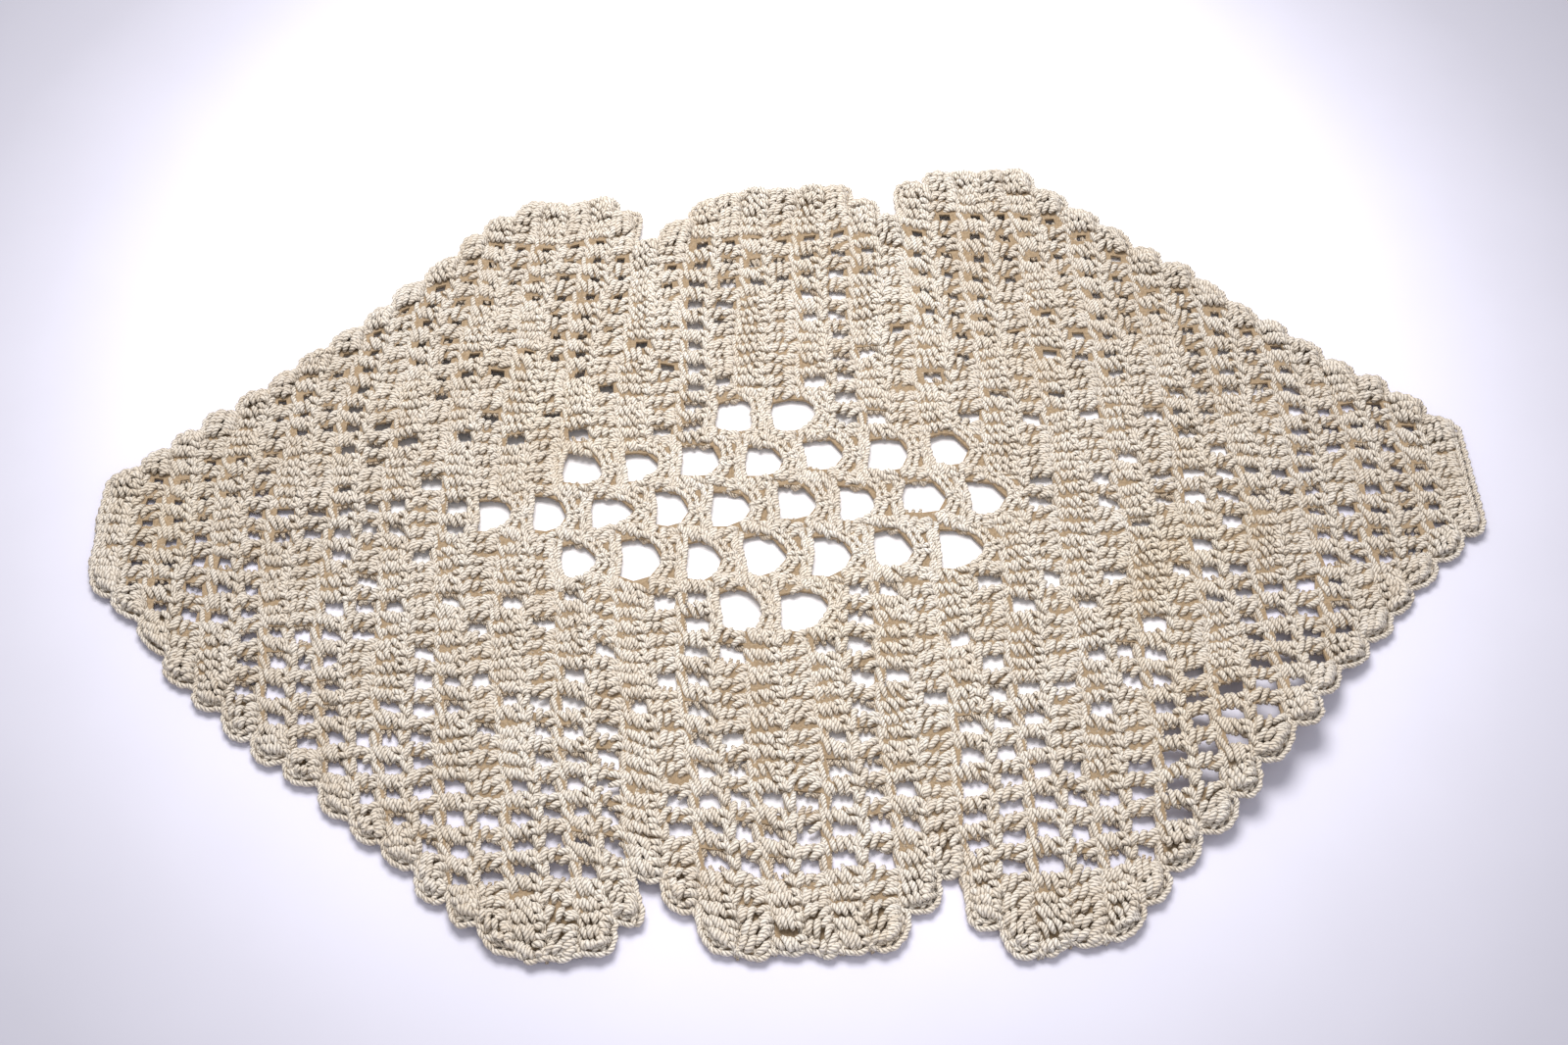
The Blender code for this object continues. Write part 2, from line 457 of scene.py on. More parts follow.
def tightness(row, mesh):
    """How far the stitches are pulled together, none (0) to most (1): near the ends and in the upper fields."""
    tight_left = share_of(row, *LEFT_TIGHT_ROWS) + share_of(mesh, *LEFT_TIGHT_MESHES)
    in_middle = (row > MIDDLE_LOBE[0]) & (row < MIDDLE_LOBE[1])
    tight_top = np.where(in_middle, share_of(mesh, *MIDDLE_TIGHT_MESHES), share_of(mesh, *TOP_TIGHT_MESHES))
    tight_right = share_of(row, *RIGHT_TIGHT_ROWS)
    return np.clip(np.maximum(np.maximum(tight_left, tight_top), tight_right), 0.0, 1.0)


def stitch_places():
    """Row and mesh of every tall stitch."""
    places = []
    for row in range(ROWS):
        width = half_width(row)
        for mesh in range(-width + 1, width):
            if (row, mesh - 1) in IN_NET and (row, mesh) in IN_NET and mesh % 2 == 0:
                continue
            places.append((row, float(mesh)))
        for mesh in range(-width + 1, width - 1):
            if (row, mesh) not in IN_NET and is_solid(row, mesh):
                places.append((row, mesh + 0.5))
        for side in (-1, 1):
            for from_end in EDGE_STITCHES:
                places.append((row, side * (width - from_end)))
    return np.array(places)


def even_points(places, spacing, fewest):
    """Evenly spaced points along a line in space."""
    length = np.concatenate([[0], np.cumsum(np.linalg.norm(np.diff(places, axis=0), axis=1))])
    count = max(fewest, round(length[-1] / spacing))
    marks = np.linspace(0, length[-1], count + 1)
    return np.stack([np.interp(marks, length, places[:, axis]) for axis in range(3)], axis=-1)


def catmull_rom(control, sections):
    """Smooth points through four control points for many strands at once."""
    first = 2 * control[:, 0] - control[:, 1]
    last = 2 * control[:, 3] - control[:, 2]
    points = np.concatenate([first[:, None], control, last[:, None]], axis=1)
    result = []
    for place in np.linspace(0, 3, sections):
        index = min(int(place), 2)
        t = place - index
        p0, p1, p2, p3 = (points[:, index + step] for step in range(4))
        bend = 2 * p0 - 5 * p1 + 4 * p2 - p3
        twist = 3 * p1 - p0 - 3 * p2 + p3
        result.append(0.5 * (2 * p1 + (p2 - p0) * t + bend * t**2 + twist * t**3))
    return np.stack(result, axis=1)


class Yarn:
    """Strands gathered for one piece, kept as arrays until the piece is made."""

    def __init__(self):
        self.corners = []
        self.faces = []
        self.ends = []
        self.maps = []
        self.end_maps = []
        self.shades = []
        self.count = 0

    def add(self, path, sides, thickness=1.0, shade=1.0):
        """Sweeps a round strand along each path of an array of paths."""
        count, sections = path.shape[:2]
        tangent = np.gradient(path, axis=1)
        tangent /= np.linalg.norm(tangent, axis=2, keepdims=True) + 1e-12
        upright = np.zeros_like(tangent)
        upright[..., 2] = 1.0
        aside = np.cross(tangent, upright)
        aside /= np.linalg.norm(aside, axis=2, keepdims=True) + 1e-9
        normal = np.cross(aside, tangent)
        share = np.linspace(0, 1, sections)
        swell = STRAND_END + STRAND_SWELL * np.sin(np.pi * share) ** STRAND_FULLNESS
        size = RANDOM.normal(1.0, STRAND_DIFFERENCE, count)
        radius = 0.5 * YARN * thickness * size[:, None] * swell[None, :]
        turn = 2 * np.pi * (np.arange(sides) + 0.5) / sides
        ring = (
            path[:, :, None]
            + (radius[..., None] * np.cos(turn))[..., None] * aside[:, :, None]
            + (radius[..., None] * np.sin(turn))[..., None] * normal[:, :, None]
        )
        ring[..., 2] = np.maximum(ring[..., 2], TABLE_CLEARANCE)
        index = self.count + np.arange(count * sections * sides).reshape(count, sections, sides)
        after = np.roll(index, -1, axis=2)
        quads = np.stack([index[:, :-1], index[:, 1:], after[:, 1:], after[:, :-1]], axis=-1)
        self.faces.append(quads.reshape(-1, 4))
        self.ends.append((sides, np.concatenate([index[:, 0], index[:, -1, ::-1]], axis=0)))
        length = np.concatenate(
            [np.zeros((count, 1)), np.cumsum(np.linalg.norm(np.diff(path, axis=1), axis=2), axis=1)], axis=1
        )
        length = length / YARN + RANDOM.uniform(0, 20, count)[:, None]
        near = np.arange(sides) / sides
        far = near + 1 / sides
        shape = (count, sections - 1, sides)
        corner_u = [length[:, :-1], length[:, 1:], length[:, 1:], length[:, :-1]]
        corner_v = [near, near, far, far]
        maps = np.stack(
            [
                np.stack([np.broadcast_to(u[..., None], shape), np.broadcast_to(v, shape)], axis=-1)
                for u, v in zip(corner_u, corner_v)
            ],
            axis=3,
        )
        self.maps.append(maps.reshape(-1, 2))
        first_map = np.stack([np.repeat(length[:, 0], sides), np.tile(near, count)], axis=-1)
        last_map = np.stack([np.repeat(length[:, -1], sides), np.tile(near[::-1], count)], axis=-1)
        self.end_maps.append(np.concatenate([first_map, last_map], axis=0))
        # shade paints strands that lie low or at the back darker, painted shade; the random part is each strand's
        # own tone.
        tone = shade * RANDOM.uniform(DARKEST_STRAND, 1, count)
        self.shades.append(np.repeat(tone, sections * sides))
        self.corners.append(ring.reshape(-1, 3))
        self.count += count * sections * sides

    def make(self, name, material):
        """Joins the strands into one mesh object."""
        corners = np.concatenate(self.corners)
        quads = np.concatenate(self.faces)
        loops = [quads.reshape(-1)]
        sizes = [np.full(len(quads), 4)]
        maps = [np.concatenate(self.maps)]
        for (sides, rings), end_map in zip(self.ends, self.end_maps):
            loops.append(rings.reshape(-1))
            sizes.append(np.full(len(rings), sides))
            maps.append(end_map)
        loops = np.concatenate(loops)
        sizes = np.concatenate(sizes)
        starts = np.concatenate([[0], np.cumsum(sizes)[:-1]])
        mesh = bpy.data.meshes.new(name)
        mesh.vertices.add(len(corners))
        mesh.vertices.foreach_set("co", corners.astype(np.float32).ravel())
        mesh.loops.add(len(loops))
        mesh.loops.foreach_set("vertex_index", loops.astype(np.int32))
        mesh.polygons.add(len(sizes))
        mesh.polygons.foreach_set("loop_start", starts.astype(np.int32))
        mesh.update(calc_edges=True)
        mesh.validate()
        layer = mesh.uv_layers.new(name="strand")
        layer.data.foreach_set("uv", np.concatenate(maps).astype(np.float32).ravel())
        shade = mesh.attributes.new("shade", "FLOAT", "POINT")
        shade.data.foreach_set("value", np.concatenate(self.shades).astype(np.float32))
        mesh.shade_smooth()
        mesh.materials.append(material)
        piece = bpy.data.objects.new(name, mesh)
        bpy.context.scene.collection.objects.link(piece)
        return piece


def chart_strands(yarn, rows, meshes, in_open, own, strand, sides, sections, flip, under):
    """One strand of every tall stitch in a list, laid through the chart."""
    count = len(rows)
    table = np.array(strand)
    wander = RANDOM.normal(0, 1, (count, 4, 3)) * np.array(STRAND_WANDER)
    place = table[None] + wander + own[:, None]
    spread = 1.0 + (OPEN_SPREAD + TIGHT_SPREAD * tightness(rows, meshes)) * in_open
    slant = OPEN_SLANT * (place[..., 0] - 0.5) * in_open[:, None]
    across = (place[..., 1] * flip * spread[:, None] + slant) * STITCH_SHARE
    row = rows[:, None] + 1 - place[..., 0]
    mesh = meshes[:, None] + across
    height = place[..., 2] * 0.001 * (UNDER_HEIGHT if under else 1.0)
    if not under:
        height = height + RIDGE_HEIGHT * (0.6 - np.abs(row % 2 - 1))
    cell = np.repeat(rows[:, None], 4, axis=1)
    row, mesh = round_corners(cell, row, mesh)
    control = lay(row, mesh, height + edge_knob(cell, row, mesh, 0.0 if under else KNOB_HEIGHT))
    # Underside strands get UNDER_SHADE, painted shade for their low place.
    yarn.add(catmull_rom(control, sections), sides, STITCH_FULLNESS, UNDER_SHADE if under else 1.0)


def chain_strands(yarn, spine, table, sides, sections, height=0.0, mirror=1, thickness=1.0, shade=1.0):
    """One chain link between each two points of a spine, over them and under them."""
    spine = np.asarray(spine)
    start = spine[:-1]
    step = spine[1:] - spine[:-1]
    length = np.linalg.norm(step, axis=1, keepdims=True)
    direction = step / (length + 1e-12)
    aside = np.cross(direction, np.array([0.0, 0.0, 1.0]))
    aside /= np.linalg.norm(aside, axis=1, keepdims=True) + 1e-12
    for strand in table:
        places = np.array(strand)[None] + RANDOM.normal(0, 1, (len(start), 4, 3)) * np.array(LINK_WANDER)
        control = start[:, None] + step[:, None] * places[..., :1]
        control = control + aside[:, None] * places[..., 1:2] * 0.001 * mirror
        control[..., 2] += places[..., 2] * 0.001 + height
        yarn.add(catmull_rom(control, sections), sides, thickness, shade)


def head_line(row, low, high, count):
    """Points along the heads of one row, from one mesh to another."""
    meshes = np.linspace(low, high, count + 1)
    rows = np.full(count + 1, float(row))
    cell = np.full(count + 1, int(row))
    row_out, mesh_out = round_corners(cell, rows, meshes)
    return lay(row_out, mesh_out, np.zeros(count + 1))


def head_stretches(row):
    """Where the heads of one row run without a break, as low and high meshes."""
    width = half_width(row)
    gaps = sorted(low for block_row, low in BLOCKS if block_row + 1 == row)
    stretches = []
    low = -width
    for gap in gaps:
        if gap > low:
            stretches.append((low, gap))
        low = gap + 2
    stretches.append((low, width))
    return stretches


# ---------------------------------------------------------------- materials

WHITE = (1.0, 1.0, 1.0)


def new_material(name):
    """A new node material, with its tree and its shader."""
    material = bpy.data.materials.new(name)
    material.use_nodes = True
    tree = material.node_tree
    return material, tree, tree.nodes["Principled BSDF"]


def math_node(tree, operation, first, second=None, third=None):
    """A Math node whose inputs are sockets or numbers."""
    node = tree.nodes.new("ShaderNodeMath")
    node.operation = operation
    for socket, value in zip(node.inputs, (first, second, third)):
        if value is None:
            continue
        if isinstance(value, (int, float)):
            socket.default_value = value
        else:
            tree.links.new(value, socket)
    return node.outputs[0]


def noise_node(tree, vector, scale, detail, roughness=0.55):
    """A Noise Texture read at a vector."""
    node = tree.nodes.new("ShaderNodeTexNoise")
    node.inputs["Scale"].default_value = scale
    node.inputs["Detail"].default_value = detail
    node.inputs["Roughness"].default_value = roughness
    tree.links.new(vector, node.inputs["Vector"])
    return node.outputs["Fac"]


def ramp_node(tree, factor, stops):
    """A Color Ramp with its stops as (place, colour)."""
    node = tree.nodes.new("ShaderNodeValToRGB")
    ramp = node.color_ramp
    while len(ramp.elements) < len(stops):
        ramp.elements.new(0.5)
    for element, (place, colour) in zip(ramp.elements, stops):
        element.position = place
        element.color = (*colour, 1.0)
    tree.links.new(factor, node.inputs["Fac"])
    return node.outputs["Color"]


def multiply_node(tree, factor, first, second):
    """A Mix node that multiplies one colour by another, wholly (1) or in part."""
    node = tree.nodes.new("ShaderNodeMix")
    node.data_type = "RGBA"
    node.blend_type = "MULTIPLY"
    node.inputs[0].default_value = factor
    tree.links.new(first, node.inputs[6])
    tree.links.new(second, node.inputs[7])
    return node.outputs[2]


def add_bump(tree, shader, height, strength, distance):
    """Gives the shader a Bump node that reads a height."""
    bump = tree.nodes.new("ShaderNodeBump")
    bump.inputs["Strength"].default_value = strength
    bump.inputs["Distance"].default_value = distance
    tree.links.new(height, bump.inputs["Height"])
    tree.links.new(bump.outputs["Normal"], shader.inputs["Normal"])


def cotton_yarn():
    """Unbleached plied cotton: its twist, its fibres, the uneven tone of an old piece, painted shade in the ply
    grooves and on lower strands, and painted light dimming towards the ends.
    """
    material, tree, shader = new_material("cotton_yarn")
    strand = tree.nodes.new("ShaderNodeUVMap")
    strand.uv_map = "strand"
    parts = tree.nodes.new("ShaderNodeSeparateXYZ")
    tree.links.new(strand.outputs["UV"], parts.inputs[0])
    place = tree.nodes.new("ShaderNodeTexCoord").outputs["Object"]
    shade = tree.nodes.new("ShaderNodeAttribute")
    shade.attribute_name = "shade"

    around = math_node(tree, "MULTIPLY", parts.outputs["Y"], PLIES)
    along_strand = math_node(tree, "DIVIDE", parts.outputs["X"], PLY_SPACING)
    turns = math_node(tree, "ADD", around, along_strand)
    twist = math_node(tree, "SINE", math_node(tree, "MULTIPLY", turns, math.pi))
    ply = math_node(tree, "POWER", math_node(tree, "ABSOLUTE", twist), 0.6)
    fibres = noise_node(tree, place, 5200.0, 2.0, 0.6)
    height = math_node(tree, "MULTIPLY_ADD", fibres, 0.22, ply)
    add_bump(tree, shader, height, 0.85, 0.0006)

    tone = noise_node(tree, place, 38.0, 3.0)
    base = ramp_node(tree, tone, [(0.30, (0.880, 0.795, 0.685)), (0.70, (0.955, 0.895, 0.810))])
    # Painted shade and tone: low shade values, given to the underside and back strands, turn dark brown as painted
    # shade; the rest is each strand's own random tone.
    painted_shade_and_tone = [(0.0, (0.56, 0.43, 0.29)), (0.55, (0.90, 0.87, 0.83)), (1.0, WHITE)]
    shaded_tone = ramp_node(tree, shade.outputs["Fac"], painted_shade_and_tone)
    base = multiply_node(tree, 1.0, base, shaded_tone)
    # Painted shade: the grooves between the plies are darkened where shade falls in them.
    painted_groove_shade = ramp_node(tree, ply, [(0.0, (0.47, 0.325, 0.195)), (0.50, WHITE)])
    base = multiply_node(tree, 0.8, base, painted_groove_shade)
    specks = noise_node(tree, place, 900.0, 2.0)
    speck = ramp_node(tree, specks, [(0.30, (0.86, 0.82, 0.76)), (0.55, WHITE)])
    base = multiply_node(tree, 0.6, base, speck)
    age = noise_node(tree, place, 14.0, 2.0)
    stain = ramp_node(tree, age, [(0.56, WHITE), (0.74, (1.0, 0.93, 0.76))])
    base = multiply_node(tree, 0.3, base, stain)
    # Painted light: the yarn grows darker and greyer towards the ends, where the light falls off.
    axes = tree.nodes.new("ShaderNodeSeparateXYZ")
    tree.links.new(place, axes.inputs[0])
    from_middle = math_node(tree, "ABSOLUTE", axes.outputs["X"])
    painted_light_falloff = [(0.04, WHITE), (0.09, (0.93, 0.925, 0.92)), (0.16, (0.86, 0.85, 0.84))]
    painted_falloff = ramp_node(tree, from_middle, painted_light_falloff)
    base = multiply_node(tree, 1.0, base, painted_falloff)
    tree.links.new(base, shader.inputs["Base Color"])

    shader.inputs["Roughness"].default_value = 0.68
    shader.inputs["Specular IOR Level"].default_value = 0.30
    shader.inputs["Sheen Weight"].default_value = 0.10
    shader.inputs["Sheen Roughness"].default_value = 0.5
    return material


def core_painted_shade():
    """The yarn deep inside the stitches, its dark colour painted shade for the shade deep between the strands."""
    material, tree, shader = new_material("core_painted_shade")
    place = tree.nodes.new("ShaderNodeTexCoord").outputs["Object"]
    fibres = noise_node(tree, place, 1400.0, 4.0, 0.6)
    # Painted shade: dark browns for the shade deep inside the stitches.
    colour = ramp_node(tree, fibres, [(0.30, (0.235, 0.162, 0.093)), (0.70, (0.42, 0.308, 0.193))])
    tree.links.new(colour, shader.inputs["Base Color"])
    shader.inputs["Roughness"].default_value = 0.9
    add_bump(tree, shader, fibres, 0.8, 0.0003)
    return material


# Painted light on the table: its tone from the middle of a painted pool of light outwards, darker towards the
# corners.
# metres_from_middle, tone
PAINTED_LIGHT_TONES = ((0.15, 0.95), (0.19, 0.80), (0.217, 0.71), (0.26, 0.57), (0.304, 0.46), (0.37, 0.38), (0.60, 0.46))
PAINTED_POOL_SHIFT = -0.07
PAINTED_POOL_NARROWING = 1.15


def table_top():
    """A pale surface with a painted pool of light: brightest in the middle, darker and bluer towards the corners."""
    material, tree, shader = new_material("table_top")
    place = tree.nodes.new("ShaderNodeTexCoord").outputs["Object"]
    mottle = noise_node(tree, place, 30.0, 3.0)
    from_light = tree.nodes.new("ShaderNodeMapping")
    from_light.inputs["Location"].default_value = (0.0, PAINTED_POOL_SHIFT, 0.0)
    from_light.inputs["Scale"].default_value = (PAINTED_POOL_NARROWING, 1.0, 1.0)
    tree.links.new(place, from_light.inputs["Vector"])
    distance = tree.nodes.new("ShaderNodeVectorMath")
    distance.operation = "LENGTH"
    tree.links.new(from_light.outputs["Vector"], distance.inputs[0])
    pool_distance = math_node(tree, "MULTIPLY_ADD", mottle, 0.01, distance.outputs["Value"])
    # Painted light: the tone falls from the bright middle outwards and turns bluer, a painted pool of light.
    stops = [(reach, (tone, 0.98 * tone, min(0.95, 1.13 * tone))) for reach, tone in PAINTED_LIGHT_TONES]
    colour = ramp_node(tree, pool_distance, stops)
    tree.links.new(colour, shader.inputs["Base Color"])
    shader.inputs["Roughness"].default_value = 0.75
    return material


YARN_MATERIAL = cotton_yarn()
CORE_MATERIAL = core_painted_shade()


# ---------------------------------------------------------------- the inner web

# Half an opening in the web, in rows and in meshes, how much of it the tightest stitches close, how far the web
# goes into the last mesh of a row, and how much longer a hole of a pair is.
# Where the web closes more of an opening, its dark colour fills more of the hole as painted shade.
WEB_OPENING = (0.37, 0.34)
WEB_TIGHTENS = 0.55
WEB_REACH = 0.86
WIDE_HOLE = 1.2


def build_web():
    """The thin sheet of yarn inside the stitches, open wherever the lace is open."""
    places = {}
    faces = []

    def corner(row, mesh):
        key = (round(row, 4), round(mesh, 4))
        if key not in places:
            places[key] = len(places)
        return places[key]

    for row in range(ROWS):
        width = half_width(row)
        for mesh in range(1 - width, width - 1):
            if (row, mesh) in IN_NET:
                continue
            outer = [(row, mesh), (row + 1, mesh), (row + 1, mesh + 1), (row, mesh + 1)]
            if is_solid(row, mesh):
                faces.append([corner(*point) for point in outer])
                continue
            open_share = 1.0 - WEB_TIGHTENS * float(tightness(row, mesh))
            half_row, half_mesh = WEB_OPENING[0] * open_share, WEB_OPENING[1] * open_share
            low_row, high_row = row + 0.5 - half_row, row + 0.5 + half_row
            low_mesh, high_mesh = mesh + 0.5 - half_mesh, mesh + 0.5 + half_mesh
            inner = [(low_row, low_mesh), (high_row, low_mesh), (high_row, high_mesh), (low_row, high_mesh)]
            for index in range(4):
                after = (index + 1) % 4
                faces.append([corner(*p) for p in (outer[index], outer[after], inner[after], inner[index])])
        top = [(row, width - 1), (row + 1, width - 1)] + edge_curve(row, 1, WEB_REACH)
        bottom = [(row, 1 - width), (row + 1, 1 - width)] + edge_curve(row, -1, WEB_REACH)
        faces.append([corner(*point) for point in top])
        faces.append([corner(*point) for point in bottom[::-1]])
    for row, low_mesh in BLOCKS:
        middle = low_mesh + 1
        for index, (a, b, hole_a, hole_b) in enumerate(HOLE_RING):
            after_a, after_b, after_hole_a, after_hole_b = HOLE_RING[(index + 1) % len(HOLE_RING)]
            wide = WIDE_HOLE if low_mesh in WIDE_BLOCKS else 1.0
            ring = ((a, b), (after_a, after_b), (wide * after_hole_a, after_hole_b), (wide * hole_a, hole_b))
            faces.append([corner(row + x, middle + y) for x, y in ring])
    chart = np.array(list(places.keys()))
    corners = lay(chart[:, 0], chart[:, 1], np.zeros(len(chart)))
    mesh = bpy.data.meshes.new("web")
    mesh.from_pydata(corners.tolist(), [], faces)
    mesh.update()
    # The web wears the dark core colour, painted shade between the strands.
    mesh.materials.append(CORE_MATERIAL)
    web = bpy.data.objects.new("web", mesh)
    bpy.context.scene.collection.objects.link(web)
    area = sum(polygon.area for polygon in mesh.polygons)
    bpy.ops.object.select_all(action="DESELECT")
    bpy.context.view_layer.objects.active = web
    web.select_set(True)
    solidify = web.modifiers.new("thickness", "SOLIDIFY")
    solidify.thickness = WEB_THICKNESS
    solidify.offset = 0.0
    bpy.ops.object.modifier_apply(modifier="thickness")
    return web, area


# ---------------------------------------------------------------- the stitches

# Rows of each piece of the stitch work.
# name, first_row, last_row
STITCH_PIECES = (
    ("stitches_left_end", 0, 9),
    ("stitches_left_lobe", 10, 14),
    ("stitches_left_shoulder", 15, 19),
    ("stitches_middle", 20, 25),
    ("stitches_right_shoulder", 26, 30),
    ("stitches_right_lobe", 31, 35),
    ("stitches_right_end", 36, 45),
)

TOP_SIDES = 5
TOP_SECTIONS = 6
UNDER_SIDES = 4
UNDER_SECTIONS = 3
HEAD_SECTIONS = 5

# Layers of the chain of heads, from the top down, where two rows meet in a crease and where they meet in a ridge.
# The lower layers get a smaller shade, which paints them darker: painted shade.
# strands, sides, sections, height, mirror, shade
CREASE_HEADS = (
    (CREASE_RIB, TOP_SIDES, HEAD_SECTIONS, 0.00030, 1, 1.0),
    (CHAIN_ARMS, UNDER_SIDES, HEAD_SECTIONS, -0.00060, 1, 0.5),
)
RIDGE_HEADS = (
    (HEAD_ARMS, TOP_SIDES, HEAD_SECTIONS, 0.00092, -1, 1.0),
    (CHAIN_ARMS, UNDER_SIDES, HEAD_SECTIONS, -0.00010, 1, 0.7),
    (CREASE_RIB, UNDER_SIDES, UNDER_SECTIONS, -0.00062, 1, 0.3),
)


def add_row_heads(yarn, row):
    """The chain of heads along the left side of a row."""
    layers = CREASE_HEADS if row % 2 == 0 else RIDGE_HEADS
    for low, high in head_stretches(row):
        count = max(1, round((high - low) / STITCH_SHARE))
        spine = head_line(row, low, high, count)
        for table, sides, sections, height, mirror, shade in layers:
            chain_strands(yarn, spine, table, sides, sections, height=height, mirror=mirror, shade=shade)


def build_stitches():
    """Every tall stitch and the heads of every row, in pieces a few rows wide."""
    places = stitch_places()
    pieces = []
    for name, first_row, last_row in STITCH_PIECES:
        yarn = Yarn()
        for parity in (0, 1):
            chosen = (places[:, 0] >= first_row) & (places[:, 0] <= last_row) & (places[:, 0] % 2 == parity)
            rows = places[chosen, 0].astype(int)
            meshes = places[chosen, 1]
            in_open = np.array([not is_solid(row, math.floor(mesh)) for row, mesh in zip(rows, meshes)], dtype=float)
            own = RANDOM.normal(0, 1, (len(rows), 3)) * np.array(STITCH_WANDER)
            over, under = (FRONT_STRANDS, BACK_STRANDS) if parity == 0 else (BACK_STRANDS, FRONT_STRANDS)
            for strand in over:
                chart_strands(yarn, rows, meshes, in_open, own, strand, TOP_SIDES, TOP_SECTIONS, 1, False)
            for strand in under:
                chart_strands(yarn, rows, meshes, in_open, own, strand, UNDER_SIDES, UNDER_SECTIONS, -1, True)
        for row in range(first_row, last_row + 1):
            add_row_heads(yarn, row)
        pieces.append(yarn.make(name, YARN_MATERIAL))
    return pieces


def chart_line(points, spacing):
    """Evenly spaced points in space along a line given in the chart."""
    points = np.array(points, dtype=float)
    fine = []
    for start, end in zip(points[:-1], points[1:]):
        fine.append(start + (end - start) * np.linspace(0, 1, 12, endpoint=False)[:, None])
    fine.append(points[-1:])
    fine = np.concatenate(fine)
    return even_points(lay(fine[:, 0], fine[:, 1], np.zeros(len(fine))), spacing, 2)


# The arms of the net, in rows and meshes from the left row and lowest mesh of their block.
# Places of the two arms' starts and of the apex where they meet: row, mesh
ARM_STARTS = ((1.16, 0.20), (1.16, 1.80))
APEX = (1.64, 0.98)
# The row where an arm bends and its share of the way across, and the start and spread of its foot.
ARM_BEND = 1.46
ARM_BEND_SHARE = 0.32
FOOT_START = 0.16
FOOT_SPREAD = 1.18
# How far the knot lies over the apex, the row where it bends and the meshes it passes.
KNOT_OVERLAP = 0.12
KNOT_BEND = 1.84
KNOT_MESHES = (0.93, 1.02)
# How far an arm strays, and how much longer the holes of a pair are, in rows.
NET_SLIP = 0.05
WIDE_PAIR = 0.18


def build_net():
    """The bars and the two arms of each lacet in the net of big holes."""
    yarn = Yarn()
    for row, low in BLOCKS:
        slip = RANDOM.normal(0.0, NET_SLIP, 4)
        wide = WIDE_PAIR if low in WIDE_BLOCKS else 0.0
        apex = (row + APEX[0] + wide + slip[0], low + APEX[1] + slip[1])
        starts = []
        for side, (arm_row, mesh) in enumerate(ARM_STARTS):
            starts.append((row + arm_row + wide + slip[2 + side], low + mesh))
        for start in starts:
            bend = (row + ARM_BEND + wide, start[1] + ARM_BEND_SHARE * (apex[1] - start[1]))
            spine = chart_line([start, bend, apex], ARM_LINK)
            chain_strands(yarn, spine, CHAIN_ARMS, TOP_SIDES, HEAD_SECTIONS, height=0.00055, thickness=NET_FULLNESS)
            # The back strands get a smaller shade: painted shade.
            chain_strands(yarn, spine, CHAIN_BACK, TOP_SIDES, HEAD_SECTIONS, thickness=NET_FULLNESS, shade=0.6)
            foot_end = (row + 2.0, low + 1.0 + FOOT_SPREAD * (start[1] - low - 1.0))
            foot = chart_line([(start[0] + FOOT_START, start[1]), foot_end], KNOT_LINK)
            # The low foot gets a smaller shade: painted shade.
            chain_strands(yarn, foot, CHAIN_ARMS, TOP_SIDES, HEAD_SECTIONS, height=0.0001, shade=0.85)
        bar = chart_line([(row, low), (row, low + 2)], CHAIN_LINK)
        chain_strands(yarn, bar, CHAIN_ARMS, TOP_SIDES, HEAD_SECTIONS, height=0.0004, thickness=NET_FULLNESS)
        # Painted shade on the back strands.
        chain_strands(yarn, bar, CHAIN_BACK, TOP_SIDES, HEAD_SECTIONS, height=0.0002, shade=0.6)
        knot_start = (apex[0] - KNOT_OVERLAP, low + KNOT_MESHES[0])
        knot = chart_line([knot_start, (row + KNOT_BEND, low + KNOT_MESHES[1]), (row + 2.0, low + 1.0)], KNOT_LINK)
        chain_strands(yarn, knot, CHAIN_ARMS, TOP_SIDES, HEAD_SECTIONS, height=0.0008, thickness=NET_FULLNESS)
        # Painted shade on the back strands.
        chain_strands(yarn, knot, CHAIN_BACK, TOP_SIDES, HEAD_SECTIONS, shade=0.6)
    return yarn.make("net_chains", YARN_MATERIAL)


def build_edge():
    """The chain that runs round the outline."""
    yarn = Yarn()
    fine = lay(OUTLINE_POINTS[:, 0], OUTLINE_POINTS[:, 1], np.zeros(len(OUTLINE_POINTS)))
    fine = np.concatenate([fine, fine[:1]])
    keep = np.concatenate([[True], np.linalg.norm(np.diff(fine, axis=0), axis=1) > 1e-6])
    spine = even_points(fine[keep], CHAIN_LINK, 2)
    direction = np.gradient(spine, axis=0)
    inward = np.stack([-direction[:, 1], direction[:, 0], np.zeros(len(direction))], axis=-1)
    inward /= np.linalg.norm(inward, axis=1, keepdims=True) + 1e-12
    spine = spine + inward * EDGE_INSET
    chain_strands(yarn, spine, CHAIN_ARMS, TOP_SIDES, HEAD_SECTIONS, height=0.00035)
    chain_strands(yarn, spine, CHAIN_BACK, TOP_SIDES, HEAD_SECTIONS)
    return yarn.make("edge_chain", YARN_MATERIAL)


web, web_area = build_web()
yarn_pieces = build_stitches() + [build_net(), build_edge()]

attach(web, "root")
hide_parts("doily")
for piece in yarn_pieces:
    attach(piece, "root")


# ---------------------------------------------------------------- floor, light and camera


def build_floor():
    """The pale surface the doily lies on."""
    bpy.ops.object.select_all(action="DESELECT")
    bpy.ops.mesh.primitive_plane_add(size=3.0, location=(0, 0, 0))
    floor = bpy.context.active_object
    floor.name = "floor"
    floor.data.materials.append(table_top())
    return floor


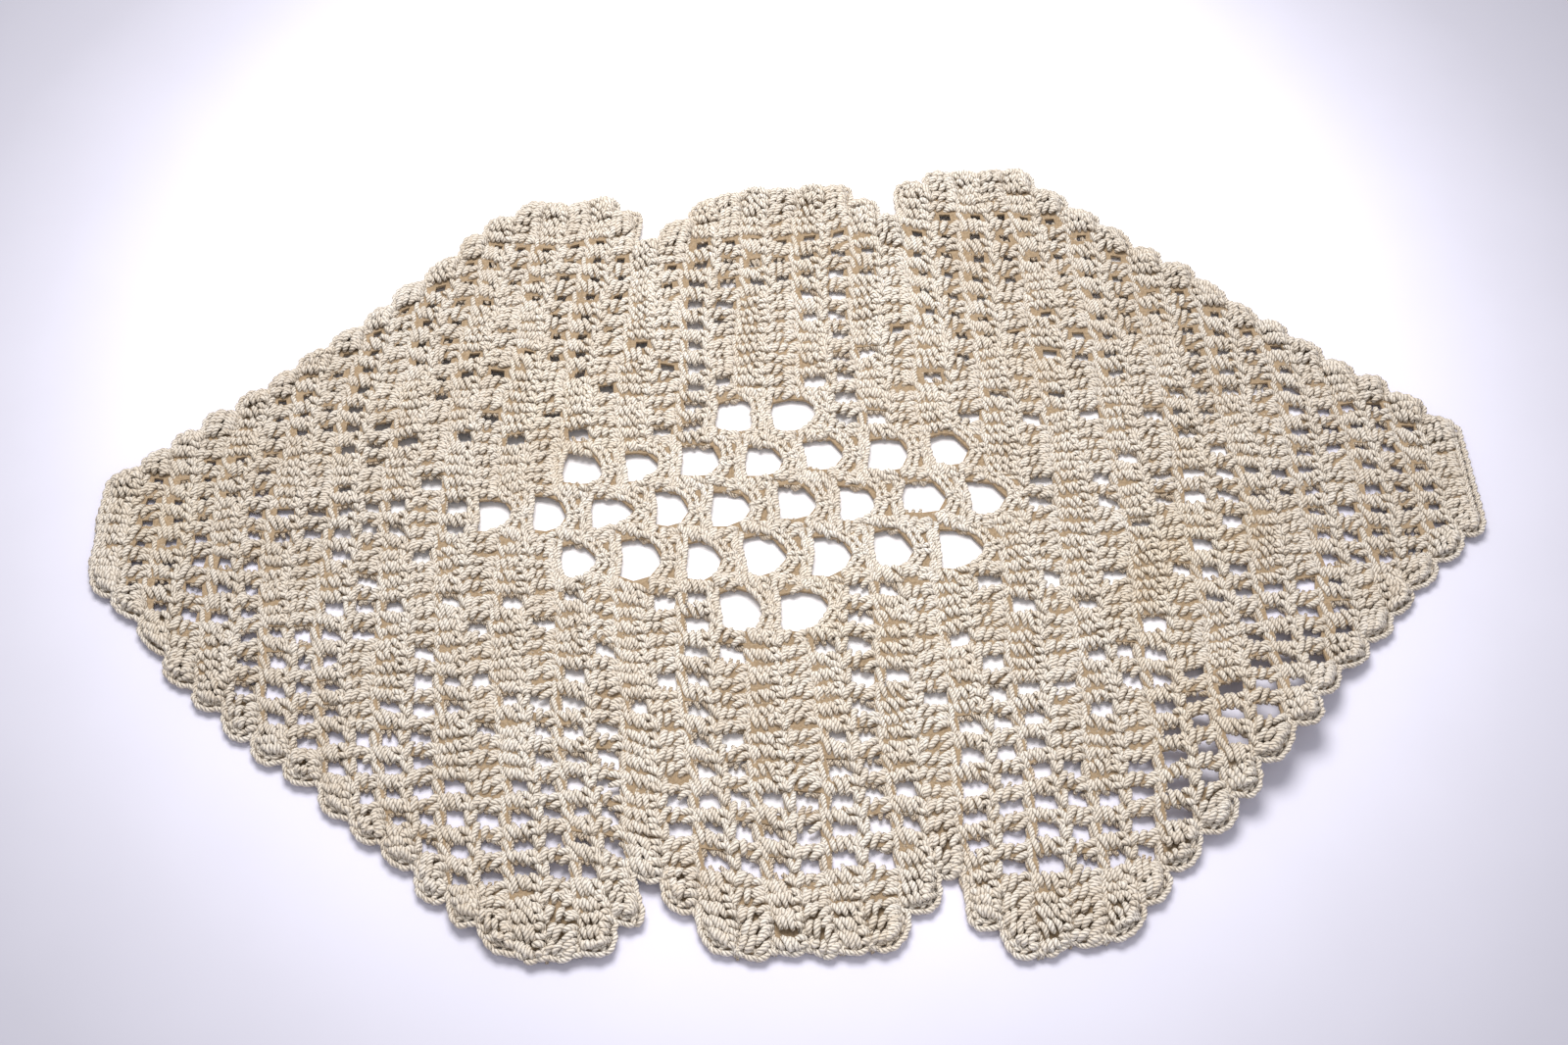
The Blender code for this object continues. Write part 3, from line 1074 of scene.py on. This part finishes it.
def add_area_light(name, place, aim, size, power, colour):
    """A soft round light that faces a point."""
    data = bpy.data.lights.new(name, "AREA")
    data.shape = "DISK"
    data.size = size
    data.energy = power
    data.color = colour
    light = bpy.data.objects.new(name, data)
    light.location = place
    bpy.context.scene.collection.objects.link(light)
    light.rotation_euler = (Vector(aim) - Vector(place)).to_track_quat("-Z", "Y").to_euler()


floor = build_floor()

# The camera's place: its turn round the doily, its distance in metres, its height as an angle, and how far to one
# side of the middle it aims.
TURN = math.radians(3.1)
CAMERA_DISTANCE = 0.603
CAMERA_ELEVATION = math.radians(52.0)
AIM_ASIDE = -0.0024


def build_camera():
    """A 50 mm camera that looks down at the doily, which lies turned a little on the table."""
    data = bpy.data.cameras.new("camera")
    data.lens = 50.0
    data.sensor_width = 36.0
    data.clip_start = 0.01
    camera = bpy.data.objects.new("camera", data)
    bpy.context.scene.collection.objects.link(camera)
    aim = Vector((AIM_ASIDE * math.cos(TURN), -AIM_ASIDE * math.sin(TURN), 0.0))
    level = CAMERA_DISTANCE * math.cos(CAMERA_ELEVATION)
    offset = Vector((-level * math.sin(TURN), -level * math.cos(TURN), CAMERA_DISTANCE * math.sin(CAMERA_ELEVATION)))
    camera.location = aim + offset
    camera.rotation_euler = (-offset).to_track_quat("-Z", "Y").to_euler()
    bpy.context.scene.camera = camera


# name, place, aim, size, power, colour
LIGHTS = (
    ("soft_light", (-0.05, 0.25, 0.76), (0.0, 0.02, 0.0), 0.50, 6.9, (1.0, 0.985, 0.965)),
    ("fill_light", (0.25, -0.75, 0.75), (0.0, 0.0, 0.0), 1.0, 1.5, (0.98, 0.98, 1.0)),
)

build_camera()
for light in LIGHTS:
    add_area_light(*light)

world = bpy.data.worlds.new("studio")
world.use_nodes = True
backdrop = world.node_tree.nodes["Background"]
backdrop.inputs["Color"].default_value = (0.93, 0.94, 1.0, 1.0)
backdrop.inputs["Strength"].default_value = 0.52
bpy.context.scene.world = world
bpy.context.scene.view_settings.view_transform = "Standard"
